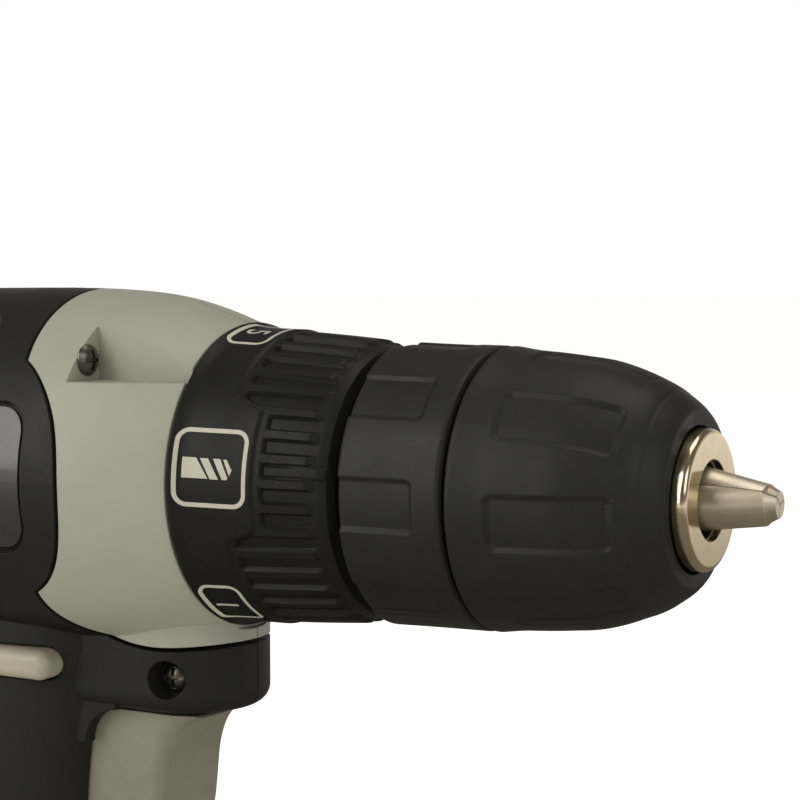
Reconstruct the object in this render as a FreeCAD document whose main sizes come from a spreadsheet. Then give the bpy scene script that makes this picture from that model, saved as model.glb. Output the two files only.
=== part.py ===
import FreeCAD, Part
import Sketcher
import math
import os
from FreeCAD import Placement, Rotation, Vector

# Cordless drill with a keyless chuck, a torque collar and a slide-in battery pack.
#
# Row frame: +X towards the chuck, +Y to the drill's left, +Z up, origin at the
# centre of the battery foot's rest face.
# Drive frame, in which every piece is drawn: x is the station behind the closed
# jaws' tips, y is to the drill's right, z is up from the spindle axis. Each
# piece's Placement turns the drive frame into the row frame.

SIZES = [
    ("axis_height", 178.0, "spindle axis above the rest face"),
    ("foot_station", 126.0, "centre of the battery foot"),
    # keyless chuck
    ("nose_face", 10.0, "front face of the nose ring"),
    ("nose_ring_radius", 10.3, "nose ring"),
    ("nose_hole_radius", 5.7, "hole that the jaws come out of"),
    ("sleeve_lip", 12.3, "front edge of the front sleeve"),
    ("sleeve_lip_radius", 13.2, "outer radius at the lip"),
    ("sleeve_shoulder", 26.0, "end of the domed nose"),
    ("sleeve_shoulder_radius", 19.7, "radius at the shoulder"),
    ("sleeve_dome_radius", 26.0, "radius of the dome's arc"),
    ("sleeve_rear", 42.25, "rear edge of the front sleeve"),
    ("sleeve_rear_radius", 21.45, "radius there"),
    ("rear_sleeve_front", 42.8, "front edge of the rear sleeve"),
    ("rear_sleeve_rear", 59.6, "rear edge of the rear sleeve"),
    ("rear_sleeve_radius", 21.8, "radius at its rear edge"),
    ("chuck_radius", 17.0, "steel chuck body"),
    ("chuck_rear", 57.5, "rear face of the chuck body"),
    ("jaw_radius", 3.6, "round stock that each jaw is ground from"),
    ("jaw_slant", 12.0, "angle of the jaw bores to the spindle, degrees"),
    ("jaw_offset", 0.95, "jaw axis off the spindle axis at the nose face"),
    ("jaw_length", 35.0, "jaw, tip to tail"),
    ("jaw_gap", 0.06, "half the gap between closed jaws"),
    # torque collar and clutch
    ("collar_front", 61.3, "front edge of the collar's skirt"),
    ("collar_front_radius", 21.6, "radius there"),
    ("collar_rib_front", 62.6, "front end of the grip ribs"),
    ("collar_rib_rear", 71.8, "rear end of the grip ribs"),
    ("collar_rear", 87.9, "rear edge of the smooth band"),
    ("collar_rear_radius", 24.3, "radius there"),
    ("nut_front", 70.0, "front face of the clutch nut at its loosest"),
    ("nut_rear", 74.5, "rear face of the clutch nut at its loosest"),
    ("spring_rear", 87.4, "rear end of the clutch spring"),
    # gearbox
    ("gear_module", 0.8, "module of every gear"),
    ("gear_width", 7.0, "face width of the planets"),
    ("stage_two", 95.0, "front face of the output stage's planets"),
    ("stage_one", 109.0, "front face of the input stage's planets"),
    ("spindle_radius", 5.0, "output spindle"),
    ("box_radius", 21.2, "gearbox housing"),
    ("box_rear", 119.0, "rear face of the gearbox housing"),
    # motor
    ("motor_front", 122.5, "front face of the motor can"),
    ("motor_rear", 176.0, "rear face of the motor can"),
    ("motor_radius", 18.3, "motor can"),
    # housing
    ("cover_front", 88.4, "front edge of the grey nose cover"),
    ("cover_front_radius", 24.0, "radius there"),
    ("barrel_radius", 29.6, "motor housing"),
    ("barrel_rear", 188.0, "rear of the motor housing"),
    ("wall", 2.6, "wall of the housing"),
    ("seam", 0.12, "half the seam between the housing halves"),
    ("groove", 0.7, "groove between grey and black pieces"),
    ("chin_station", 100.2, "axis of the round chin"),
    ("chin_radius", 12.7, "radius of the round chin"),
    ("chin_bottom", -38.2, "underside of the chin"),
    ("chin_top", -26.6, "groove above the chin"),
    ("flange_top", -120.5, "top of the handle's foot flange"),
    ("flange_bottom", -129.5, "underside of the foot flange"),
    # controls
    ("trigger_face", 100.2, "front of the trigger"),
    ("trigger_half", 9.0, "half the trigger's width"),
    ("trigger_top", -38.8, "top of the trigger"),
    ("trigger_rear", 116.5, "rear edge of the trigger's sides"),
    ("trigger_travel", 7.0, "trigger stroke"),
    ("button_front", 116.2, "front end of the direction button"),
    ("button_length", 20.0, "length of the direction button"),
    ("button_level", -31.2, "height of the direction button"),
    ("button_radius", 2.5, "half the button's height"),
    ("button_half", 18.6, "half the button's width across the drill"),
    # battery pack
    ("foot_length", 98.0, "battery foot along the drill"),
    ("foot_half", 29.0, "half the battery foot's width"),
    ("foot_top", -130.3, "top of the battery foot"),
    ("tower_top", -76.0, "top of the tower inside the handle"),
    ("cell_radius", 11.25, "sub-C cell"),
    ("cell_height", 42.5, "sub-C cell"),
]

doc = FreeCAD.newDocument("CordlessDrill")
sheet = doc.addObject("Spreadsheet::Sheet", "Sizes")
for row, (alias, number, meaning) in enumerate(SIZES, start=1):
    sheet.set("A%d" % row, alias)
    sheet.set("B%d" % row, str(number))
    sheet.set("C%d" % row, meaning)
    sheet.setAlias("B%d" % row, alias)
doc.recompute()


class Size:
    """A number that also knows the spreadsheet expression it comes from."""

    def __init__(self, number, text):
        self.number = number
        self.text = text

    def join(self, other, sign, number):
        text = other.text if isinstance(other, Size) else repr(float(other))
        return Size(number, "(%s %s %s)" % (self.text, sign, text))

    def __add__(self, other):
        return self.join(other, "+", self.number + plain(other))

    def __sub__(self, other):
        return self.join(other, "-", self.number - plain(other))

    def __mul__(self, other):
        return self.join(other, "*", self.number * plain(other))

    def __truediv__(self, other):
        return self.join(other, "/", self.number / plain(other))


class Sheet:
    """Sheet cells by alias: as Sizes for expressions."""

    def __getattr__(self, alias):
        return Size(float(sheet.get(alias)), "Sizes." + alias)


class Numbers:
    """Sheet cells by alias: as plain numbers."""

    def __getattr__(self, alias):
        return float(sheet.get(alias))


def plain(value):
    return value.number if isinstance(value, Size) else float(value)


S = Sheet()
N = Numbers()
PIECES = []


def bind(item, path, value):
    """Set a property from a Size by expression, or from a plain number."""
    if isinstance(value, Size):
        item.setExpression(path, value.text)
    else:
        item.setExpression(path, repr(float(value)))


def place(item):
    """Put a piece drawn in the drive frame into the row frame."""
    item.Placement = Placement(Vector(N.foot_station, 0, N.axis_height), Rotation(Vector(0, 0, 1), 180))
    bind(item, "Placement.Base.x", S.foot_station)
    bind(item, "Placement.Base.z", S.axis_height)
    PIECES.append(item)
    return item


def origin_plane(body, role):
    return [item for item in body.Origin.OriginFeatures if item.Role == role][0]


def closed_sketch(body, name, role, outline, arcs):
    """Closed outline of (across, up) Sizes; arcs maps a side's index to its bulge radius."""
    sketch = body.newObject("Sketcher::SketchObject", name)
    sketch.AttachmentSupport = [(origin_plane(body, role), "")]
    sketch.MapMode = "FlatFace"
    count = len(outline)
    corners = [Vector(plain(across), plain(up), 0) for across, up in outline]
    ends = []
    for side in range(count):
        start, end = corners[side], corners[(side + 1) % count]
        if side not in arcs:
            sketch.addGeometry(Part.LineSegment(start, end))
            ends.append((1, 2))
            continue
        radius = plain(arcs[side])
        chord = end - start
        half = chord.Length / 2
        sagitta = radius - math.sqrt(radius * radius - half * half)
        outward = Vector(chord.y, -chord.x, 0).normalize()
        middle = (start + end) * 0.5 - outward * sagitta
        sketch.addGeometry(Part.Arc(start, middle, end))
        first = sketch.getPoint(side, 1)
        ends.append((1, 2) if first.distanceToPoint(start) < 1e-6 else (2, 1))
    for side in range(count):
        following = (side + 1) % count
        sketch.addConstraint(
            Sketcher.Constraint("Coincident", side, ends[side][1], following, ends[following][0]))
    for side in range(count):
        for kind, value in zip(("DistanceX", "DistanceY"), outline[side]):
            index = sketch.addConstraint(
                Sketcher.Constraint(kind, -1, 1, side, ends[side][0], plain(value)))
            if isinstance(value, Size):
                sketch.setExpression("Constraints[%d]" % index, value.text)
    for side, radius in arcs.items():
        index = sketch.addConstraint(Sketcher.Constraint("Radius", side, plain(radius)))
        if isinstance(radius, Size):
            sketch.setExpression("Constraints[%d]" % index, radius.text)
    return sketch


def turned(label, outline, arcs=None):
    """A turned piece: (station, radius) outline revolved about the spindle axis."""
    body = doc.addObject("PartDesign::Body", label)
    body.Label = label
    sketch = closed_sketch(body, label + "_outline", "XY_Plane", outline, arcs or {})
    feature = body.newObject("PartDesign::Revolution", label + "_turned")
    feature.Profile = sketch
    feature.ReferenceAxis = (sketch, ["H_Axis"])
    feature.Angle = 360
    body.Tip = feature
    return place(body)


def ring(label, front, rear, inner, outer):
    """A plain ring or disc on the spindle axis."""
    return turned(label, [(front, inner), (rear, inner), (rear, outer), (front, outer)])


def piece(label, shape):
    """A piece whose shape is made with Part's own functions."""
    item = doc.addObject("Part::Feature", label)
    item.Label = label
    item.Shape = shape if shape.Placement.isIdentity() else Part.makeCompound([shape])
    return place(item)


# ---------------------------------------------------------------- shape helpers

def cylinder(start, end, radius):
    axis = Vector(*end) - Vector(*start)
    return Part.makeCylinder(radius, axis.Length, Vector(*start), axis)


def cone(start, end, radius_start, radius_end):
    axis = Vector(*end) - Vector(*start)
    return Part.makeCone(radius_start, radius_end, axis.Length, Vector(*start), axis)


def block(low, high):
    size = Vector(*high) - Vector(*low)
    return Part.makeBox(size.x, size.y, size.z, Vector(*low))


def tube(front, rear, inner, outer):
    """Hollow cylinder on the spindle axis."""
    return cylinder((front, 0, 0), (rear, 0, 0), outer).cut(cylinder((front, 0, 0), (rear, 0, 0), inner))


def fuse(shapes):
    return shapes[0].multiFuse(shapes[1:]).removeSplitter()


def group(shapes):
    return Part.makeCompound(shapes)


def spun(shape, degrees):
    turned_shape = shape.copy()
    turned_shape.rotate(Vector(0, 0, 0), Vector(1, 0, 0), degrees)
    return turned_shape


def rounded(shape, radius, wanted):
    """Fillet the edges that the test picks; fall back to fewer where the kernel can't."""
    edges = [edge for edge in shape.Edges if wanted(edge)]
    if not edges:
        raise ValueError("no edge to round")
    try:
        result = shape.makeFillet(radius, edges)
        if result.isValid() and result.Volume > 0:
            return result
    except Part.OCCError:
        pass
    for edge in edges:
        mark = edge.CenterOfMass
        try:
            again = [other for other in shape.Edges if other.CenterOfMass.distanceToPoint(mark) < 1e-4]
            result = shape.makeFillet(radius, again)
        except Part.OCCError:
            continue
        if result.isValid() and abs(result.Volume - shape.Volume) < 0.2 * shape.Volume:
            shape = result
    return shape


def revolved(points, arcs=None):
    """Solid of revolution about the spindle axis from (station, radius) numbers."""
    arcs = arcs or {}
    edges = []
    for index in range(len(points)):
        start = Vector(points[index][0], points[index][1], 0)
        following = points[(index + 1) % len(points)]
        end = Vector(following[0], following[1], 0)
        if index in arcs:
            middle = Vector(arcs[index][0], arcs[index][1], 0)
            edges.append(Part.Arc(start, middle, end).toShape())
        else:
            edges.append(Part.makeLine(start, end))
    face = Part.Face(Part.Wire(edges))
    return face.revolve(Vector(0, 0, 0), Vector(1, 0, 0), 360)


def plate(points, low, high):
    """Side-view polygon of (station, height) numbers, from y=low to y=high."""
    wire = Part.makePolygon([Vector(x, low, z) for x, z in points + points[:1]])
    return Part.Face(wire).extrude(Vector(0, high - low, 0))


def pill(front, length, level, radius, low, high):
    """Bar with round ends along the drill, pushed through from y=low to y=high."""
    first, last = front + radius, front + length - radius
    return fuse([
        block((first, low, level - radius), (last, high, level + radius)),
        cylinder((first, low, level), (first, high, level), radius),
        cylinder((last, low, level), (last, high, level), radius),
    ])


def handle_section(level, front, rear, half):
    """Egg-shaped section of the handle at a height, as a smooth closed wire."""
    centre, reach = (front + rear) / 2, (rear - front) / 2
    power = 2.0 / 3.2
    points = []
    for step in range(24):
        angle = 2 * math.pi * step / 24
        along, across = math.cos(angle), math.sin(angle)
        x = centre + reach * math.copysign(abs(along) ** power, along)
        y = half * math.copysign(abs(across) ** power, across)
        points.append(Vector(x, y, level))
    curve = Part.BSplineCurve()
    curve.interpolate(points, PeriodicFlag=True)
    return Part.Wire(curve.toShape())


def handle_loft(inset):
    """The handle from the motor housing down to the flange, shrunk by inset all round."""
    sections = [
        (-8.0, 108.0, 160.5, 16.0), (-30.0, 109.5, 160.5, 16.6), (-46.0, 113.0, 158.0, 17.0),
        (-75.0, 114.5, 155.0, 16.8), (-104.0, 116.5, 156.5, 17.2), (-121.0, 113.0, 160.0, 19.5),
        (-129.0, 110.0, 162.5, 21.0)]
    wires = [handle_section(z, f + inset, r - inset, w - inset) for z, f, r, w in sections]
    return Part.makeLoft(wires, True)


def coil(mean_radius, wire_radius, front, rear, turns, centre=(0, 0)):
    """Round-wire compression spring along the drill, its centre line at (y, z)."""
    height = rear - front - 2 * wire_radius
    helix = Part.makeHelix(height / turns, height, mean_radius)
    section = Part.Wire(Part.makeCircle(wire_radius, Vector(mean_radius, 0, 0), Vector(0, 1, 0)))
    solid = Part.Wire(helix.Edges).makePipeShell([section], True, True)
    solid.rotate(Vector(0, 0, 0), Vector(0, 1, 0), 90)
    solid.translate(Vector(front + wire_radius, centre[0], centre[1]))
    return solid


def pan_screw(head, direction, radius, length):
    """Cross-recess screw: underside of the head, direction of travel, shank radius and length."""
    head_radius, head_height = radius * 1.75, radius * 1.1
    ball, reach, half = head_radius * 1.25, head_radius * 0.66, radius * 0.23
    dome = Part.makeSphere(ball, Vector(0, 0, ball - head_height))
    cap = dome.common(Part.makeCylinder(head_radius, head_height, Vector(0, 0, -head_height)))
    screw = cap.fuse(Part.makeCylinder(radius, length))
    low, high = -head_height - 0.1, -head_height * 0.25
    screw = screw.cut(fuse([block((-reach, -half, low), (reach, half, high)),
                            block((-half, -reach, low), (half, reach, high))])).removeSplitter()
    screw.Placement = Placement(Vector(*head), Rotation(Vector(0, 0, 1), Vector(*direction)))
    return screw


# ---------------------------------------------------------------- keyless chuck

def make_chuck():
    lip, lip_r = S.sleeve_lip, S.sleeve_lip_radius
    turned("chuck_front_sleeve", [
        (lip, S.nose_ring_radius + 0.45), (lip, lip_r - 1.0), (lip + 0.8, lip_r + 0.3),
        (S.sleeve_shoulder, S.sleeve_shoulder_radius),
        (S.sleeve_rear - 0.6, S.sleeve_rear_radius), (S.sleeve_rear, S.sleeve_rear_radius - 0.6),
        (S.sleeve_rear, S.chuck_radius + 1.2), (S.sleeve_rear - 11.5, S.chuck_radius + 1.2),
        (S.sleeve_rear - 14.0, S.chuck_radius + 0.4), (lip + 5.0, S.nose_ring_radius + 2.2),
        (lip + 3.2, S.nose_ring_radius + 0.45)],
        {2: S.sleeve_dome_radius})
    front, rear, radius = S.rear_sleeve_front, S.rear_sleeve_rear, S.rear_sleeve_radius
    turned("chuck_rear_sleeve", [
        (front, S.chuck_radius), (front, radius - 0.9), (front + 0.6, radius - 0.3), (rear - 1.2, radius),
        (rear, radius - 1.2), (rear, radius - 4.0), (S.chuck_rear, radius - 4.0),
        (S.chuck_rear, S.chuck_radius)])
    face, hole, outer = S.nose_face, S.nose_hole_radius, S.nose_ring_radius
    turned("chuck_nose_ring", [
        (face, hole + 0.2), (face, outer - 0.9), (face + 0.9, outer), (face + 6.0, outer),
        (face + 6.0, outer - 1.6), (face + 1.2, outer - 1.6), (face + 1.2, hole + 0.2)],
        {1: 0.9})
    turned("chuck_screw", [
        (S.nose_face + 29.0, 0.0), (S.nose_face + 29.0, 3.25), (S.nose_face + 32.0, 3.25),
        (S.nose_face + 32.0, 2.45), (S.nose_face + 44.0, 2.45), (S.nose_face + 44.0, 0.0)])
    make_chuck_body()
    make_jaws()
    make_chuck_nut()


def jaw_stock(radius, front, rear):
    """Round stock of one jaw, jaw 1 on the drill's right, between two stations on its axis."""
    slope = math.tan(math.radians(N.jaw_slant))
    start = (front, N.jaw_offset + (front - N.nose_face) * slope, 0)
    end = (rear, N.jaw_offset + (rear - N.nose_face) * slope, 0)
    return cylinder(start, end, radius)


JAW_TURNS = (-20.0, 100.0, 220.0)


def make_chuck_body():
    face, rad = N.nose_face, N.chuck_radius
    cone_radius = N.jaw_offset + N.jaw_radius / math.cos(math.radians(N.jaw_slant))
    slope = math.tan(math.radians(N.jaw_slant))
    groove_front, groove_rear = face + 20.5, face + 28.5

    def groove(station):
        return cone_radius + (station - face) * slope - 0.5

    body = revolved([
        (face + 1.2, 0), (N.chuck_rear, 0), (N.chuck_rear, rad), (groove_rear, rad),
        (groove_rear, groove(groove_rear)), (groove_front, groove(groove_front)),
        (groove_front, rad - 1.0), (face + 17, rad - 1.0), (face + 7, N.nose_ring_radius - 0.5),
        (face + 6.1, N.nose_ring_radius - 1.6), (face + 1.2, N.nose_ring_radius - 1.6)])
    cuts = [cylinder((face, 0, 0), (face + 32, 0, 0), N.nose_hole_radius)]
    cuts.append(cylinder((face + 32, 0, 0), (face + 33, 0, 0), 2.5))
    cuts.append(cylinder((face + 33, 0, 0), (N.chuck_rear + 1, 0, 0), N.spindle_radius - 0.25))
    stock = jaw_stock(N.jaw_radius + 0.05, face - 4, face + 46)
    cuts += [spun(stock, turn) for turn in JAW_TURNS]
    body = body.cut(group(cuts))
    piece("chuck_body", body.Solids[0] if len(body.Solids) == 1 else max(body.Solids, key=lambda s: s.Volume))


def make_jaws():
    stock = jaw_stock(N.jaw_radius, -6, N.jaw_length * math.cos(math.radians(N.jaw_slant)))
    gap = N.jaw_gap
    wedge = plate([(0, -20), (60, -20), (60, 20), (0, 20)], gap * 2, 40)
    for turn in (30, -30):
        limit = block((0, -40, -40), (60, 0, 40))
        limit.translate(Vector(0, gap, 0))
        limit.rotate(Vector(0, 0, 0), Vector(1, 0, 0), turn)
        wedge = wedge.cut(limit)
    jaw = stock.common(wedge)
    nib = revolved([(0, 0), (0, 1.9), (1.3, 2.65), (60, 60), (60, 0)])
    jaw = jaw.common(nib)
    for number, turn in enumerate(JAW_TURNS, start=1):
        piece("chuck_jaw_%d" % number, spun(jaw, turn))


def make_chuck_nut():
    face = N.nose_face
    slope = math.tan(math.radians(N.jaw_slant))
    bore = N.jaw_offset + N.jaw_radius / math.cos(math.radians(N.jaw_slant)) + 0.06
    front, rear = face + 20.9, face + 28.1
    nut = revolved([
        (front, bore + (front - face) * slope), (rear, bore + (rear - face) * slope),
        (rear, N.chuck_radius + 1.2), (front, N.chuck_radius + 1.2)])
    piece("chuck_nut", nut)


# ---------------------------------------------------------------- torque collar and clutch

COLLAR_RIBS = 38
COLLAR_MARK_TURN = 8.0


def make_collar():
    front, rear = N.collar_front, N.collar_rear
    outside = revolved([
        (front, 13.6), (front, N.collar_front_radius - 0.7), (front + 0.7, N.collar_front_radius),
        (N.collar_rib_rear, 22.8), (N.collar_rib_rear + 6.2, 23.3), (rear - 0.6, N.collar_rear_radius),
        (rear, N.collar_rear_radius - 0.6), (rear, 20.6), (front + 2.2, 19.4), (front + 2.2, 13.6)])
    slots = []
    for number in range(COLLAR_RIBS):
        slot = block((N.collar_rib_front, 21.5, -1.1), (N.collar_rib_rear, 25, 1.1))
        slots.append(spun(slot, number * 360.0 / COLLAR_RIBS - COLLAR_MARK_TURN))
    keys = [spun(block((N.nut_front - 3, 17.3, -1.5), (rear - 6, 20.9, 1.5)), turn) for turn in (0, 120, 240)]
    body = outside.cut(group(slots)).fuse(keys).removeSplitter()
    piece("torque_collar", body)


def make_clutch():
    nut = tube(N.nut_front, N.nut_rear, 13.15, 18.7)
    keys = [spun(block((N.nut_front - 1, 17.0, -1.75), (N.nut_rear + 1, 22, 1.75)), turn) for turn in (0, 120, 240)]
    piece("clutch_nut", nut.cut(keys))
    piece("clutch_spring", coil(15.9, 1.1, N.nut_rear + 0.05, N.spring_rear, 3.5))
    ring("clutch_washer", S.spring_rear, S.spring_rear + 1.2, 13.4, 18.2)
    ball_station = N.spring_rear + 1.2 + 2.0
    balls = [spun(Part.makeSphere(2.0, Vector(ball_station, 16.6, 0)), number * 60) for number in range(6)]
    piece("clutch_balls", group(balls))


# ---------------------------------------------------------------- gears

def involute_points(teeth, module, outer, root, backlash):
    """Half-tooth flank as (radius, half-angle) pairs, from the root to the tip."""
    pitch, pressure = module * teeth / 2, math.radians(20)
    base = pitch * math.cos(pressure)
    half = math.pi / (2 * teeth) - backlash / pitch
    at_pitch = math.tan(pressure) - pressure
    pairs = []
    steps = 4
    for step in range(steps + 1):
        radius = max(root, base) + (outer - max(root, base)) * step / steps
        angle = math.acos(base / radius)
        pairs.append((radius, half + at_pitch - (math.tan(angle) - angle)))
    if root < base:
        pairs.insert(0, (root, pairs[0][1]))
    return pairs


def toothed(teeth, outer, root, backlash, phase):
    """Closed toothed outline in the plane across the spindle axis; phase turns a tooth from +y."""
    pairs = involute_points(teeth, N.gear_module, outer, root, backlash)
    points = []
    for tooth in range(teeth):
        middle = 2 * math.pi * tooth / teeth + math.radians(phase)
        for radius, half in pairs:
            points.append((radius, middle - half))
        for radius, half in reversed(pairs):
            points.append((radius, middle + half))
    corners = [Vector(0, r * math.cos(a), r * math.sin(a)) for r, a in points]
    return Part.Face(Part.makePolygon(corners + corners[:1]))


def spur(teeth, front, width, phase=0.0):
    """External spur gear on the spindle axis."""
    pitch = N.gear_module * teeth / 2
    face = toothed(teeth, pitch + 0.92 * N.gear_module, pitch - 1.2 * N.gear_module, 0.06, phase)
    gear = face.extrude(Vector(width, 0, 0))
    gear.translate(Vector(front, 0, 0))
    return gear


SUN, PLANET, ANNULUS = 12, 15, 42
PLANET_TURNS = (90.0, 210.0, 330.0)


def orbit_radius():
    return N.gear_module * (SUN + PLANET) / 2


def on_orbit(shape, turn):
    """Carry a shape from the spindle axis out to a planet's place."""
    moved = shape.copy()
    angle = math.radians(turn)
    moved.translate(Vector(0, orbit_radius() * math.cos(angle), orbit_radius() * math.sin(angle)))
    return moved


def planet_phase(turn):
    """Turn of a planet that puts its tooth gap on a sun tooth at the given place."""
    sun_tooth_offset = (turn * SUN / 360.0) % 1.0
    facing = turn + 180.0
    return facing + (0.5 + sun_tooth_offset) * 360.0 / PLANET


def annulus_gear(front, rear, outer):
    """Internal gear whose tooth gaps take the planets' teeth."""
    pitch = N.gear_module * ANNULUS / 2
    space = toothed(ANNULUS, pitch + 1.2 * N.gear_module, pitch - 0.92 * N.gear_module, -0.06, 0.0)
    hollow = space.extrude(Vector(rear - front + 2, 0, 0))
    hollow.translate(Vector(front - 1, 0, 0))
    hollow.rotate(Vector(0, 0, 0), Vector(1, 0, 0), annulus_phase())
    return cylinder((front, 0, 0), (rear, 0, 0), outer).cut(hollow)


def annulus_phase():
    """Turn that lines a gap of the annulus up with the outermost tooth of planet a."""
    turn = PLANET_TURNS[0]
    planet_offset = ((turn - planet_phase(turn)) * PLANET / 360.0) % 1.0
    return turn - planet_offset * 360.0 / ANNULUS


def make_stage(front, names, phase):
    bore = cylinder((front - 1, 0, 0), (front + N.gear_width + 1, 0, 0), 1.85)
    for name, turn in zip(names, PLANET_TURNS):
        gear = spur(PLANET, front, N.gear_width, planet_phase(turn) + phase).cut(bore)
        piece(name, on_orbit(gear, turn))


def carrier(front, rear, pin_rear, radius, hole):
    """Carrier plate with three planet pins behind it."""
    parts = [cylinder((front, 0, 0), (rear, 0, 0), radius)]
    for turn in PLANET_TURNS:
        parts.append(on_orbit(cylinder((rear - 1, 0, 0), (pin_rear, 0, 0), 1.8), turn))
    plate_shape = fuse(parts)
    if hole:
        plate_shape = plate_shape.cut(cylinder((front - 1, 0, 0), (rear + 1, 0, 0), hole))
    return plate_shape


def make_gearbox():
    two, one, width = N.stage_two, N.stage_one, N.gear_width
    make_stage(two, ["planet_gear_2a", "planet_gear_2b", "planet_gear_2c"], 0.0)
    make_stage(one, ["planet_gear_1a", "planet_gear_1b", "planet_gear_1c"], 0.0)
    piece("output_carrier", carrier(two - 3.3, two - 0.3, two + width, 13.4, N.spindle_radius))
    drive = carrier(one - 3.3, one - 0.3, one + width, 13.4, 0)
    sun = spur(SUN, two, one - 3.3 - two)
    piece("first_carrier", fuse([drive, sun]))
    piece("clutch_ring_gear", annulus_gear(two - 2.4, two + width + 0.5, 19.2))
    piece("first_ring_gear", annulus_gear(one - 0.6, one + width + 0.5, 19.2))
    pinion = spur(SUN, one - 0.1, width + 1.0).cut(cylinder((one - 1, 0, 0), (one + 9, 0, 0), 1.6))
    piece("motor_pinion", pinion)
    make_gearbox_housing()
    radius = S.spindle_radius
    ring("front_bearing", S.collar_front + 2.6, S.collar_front + 7.6, radius, 9.4)
    ring("rear_bearing", S.collar_rear - 4.5, S.collar_rear + 0.5, radius, 9.4)
    turned("spindle", [
        (S.nose_face + 34.0, 2.5), (S.nose_face + 34.0, radius - 0.75), (S.nose_face + 36.5, radius - 0.25),
        (S.chuck_rear + 0.3, radius - 0.25),
        (S.chuck_rear + 0.3, radius + 1.5), (S.collar_front + 2.4, radius + 1.5),
        (S.collar_front + 2.4, radius), (S.stage_two - 0.3, radius), (S.stage_two - 0.3, 0.0),
        (S.nose_face + 46.0, 0.0), (S.nose_face + 46.0, 2.5)])


def make_gearbox_housing():
    nose_front, barrel_front = N.collar_front + 2.5, N.collar_rear + 0.8
    shell = revolved([
        (nose_front, 9.4), (nose_front, 13.0), (barrel_front, 13.0), (barrel_front, N.box_radius),
        (N.box_rear, N.box_radius), (N.box_rear, 19.2), (N.stage_two - 2.8, 19.2),
        (N.stage_two - 2.8, 14.0), (N.stage_two - 3.7, 14.0), (N.stage_two - 3.7, 9.4),
        (N.collar_rear - 4.6, 9.4), (N.collar_rear - 4.6, 7.2), (nose_front + 5.2, 7.2),
        (nose_front + 5.2, 9.4)])
    holes = [spun(cylinder((barrel_front - 2, 16.6, 0), (N.stage_two, 16.6, 0), 2.1), number * 60)
             for number in range(6)]
    ears = [spun(block((barrel_front + 9, N.box_radius - 1, -3), (barrel_front + 15, 23.8, 3)), turn)
            for turn in (90, 270)]
    shell = fuse([shell] + ears).cut(group(holes))
    piece("gearbox_housing", shell)
    plate_shape = tube(N.box_rear + 0.1, N.motor_front, 7.0, N.box_radius)
    screws, holes = [], []
    for turn in (45, 225):
        place_at = (12.5 * math.cos(math.radians(turn)), 12.5 * math.sin(math.radians(turn)))
        holes.append(cylinder((N.box_rear, *place_at), (N.motor_front + 1, *place_at), 1.5))
        screws.append(fuse([
            cylinder((N.box_rear - 1.5, *place_at), (N.box_rear + 0.1, *place_at), 2.7),
            cylinder((N.box_rear, *place_at), (N.motor_front + 3.5, *place_at), 1.5)]))
    piece("motor_plate", plate_shape.cut(group(holes)))
    piece("motor_screws", group(screws))


# ---------------------------------------------------------------- motor

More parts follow.
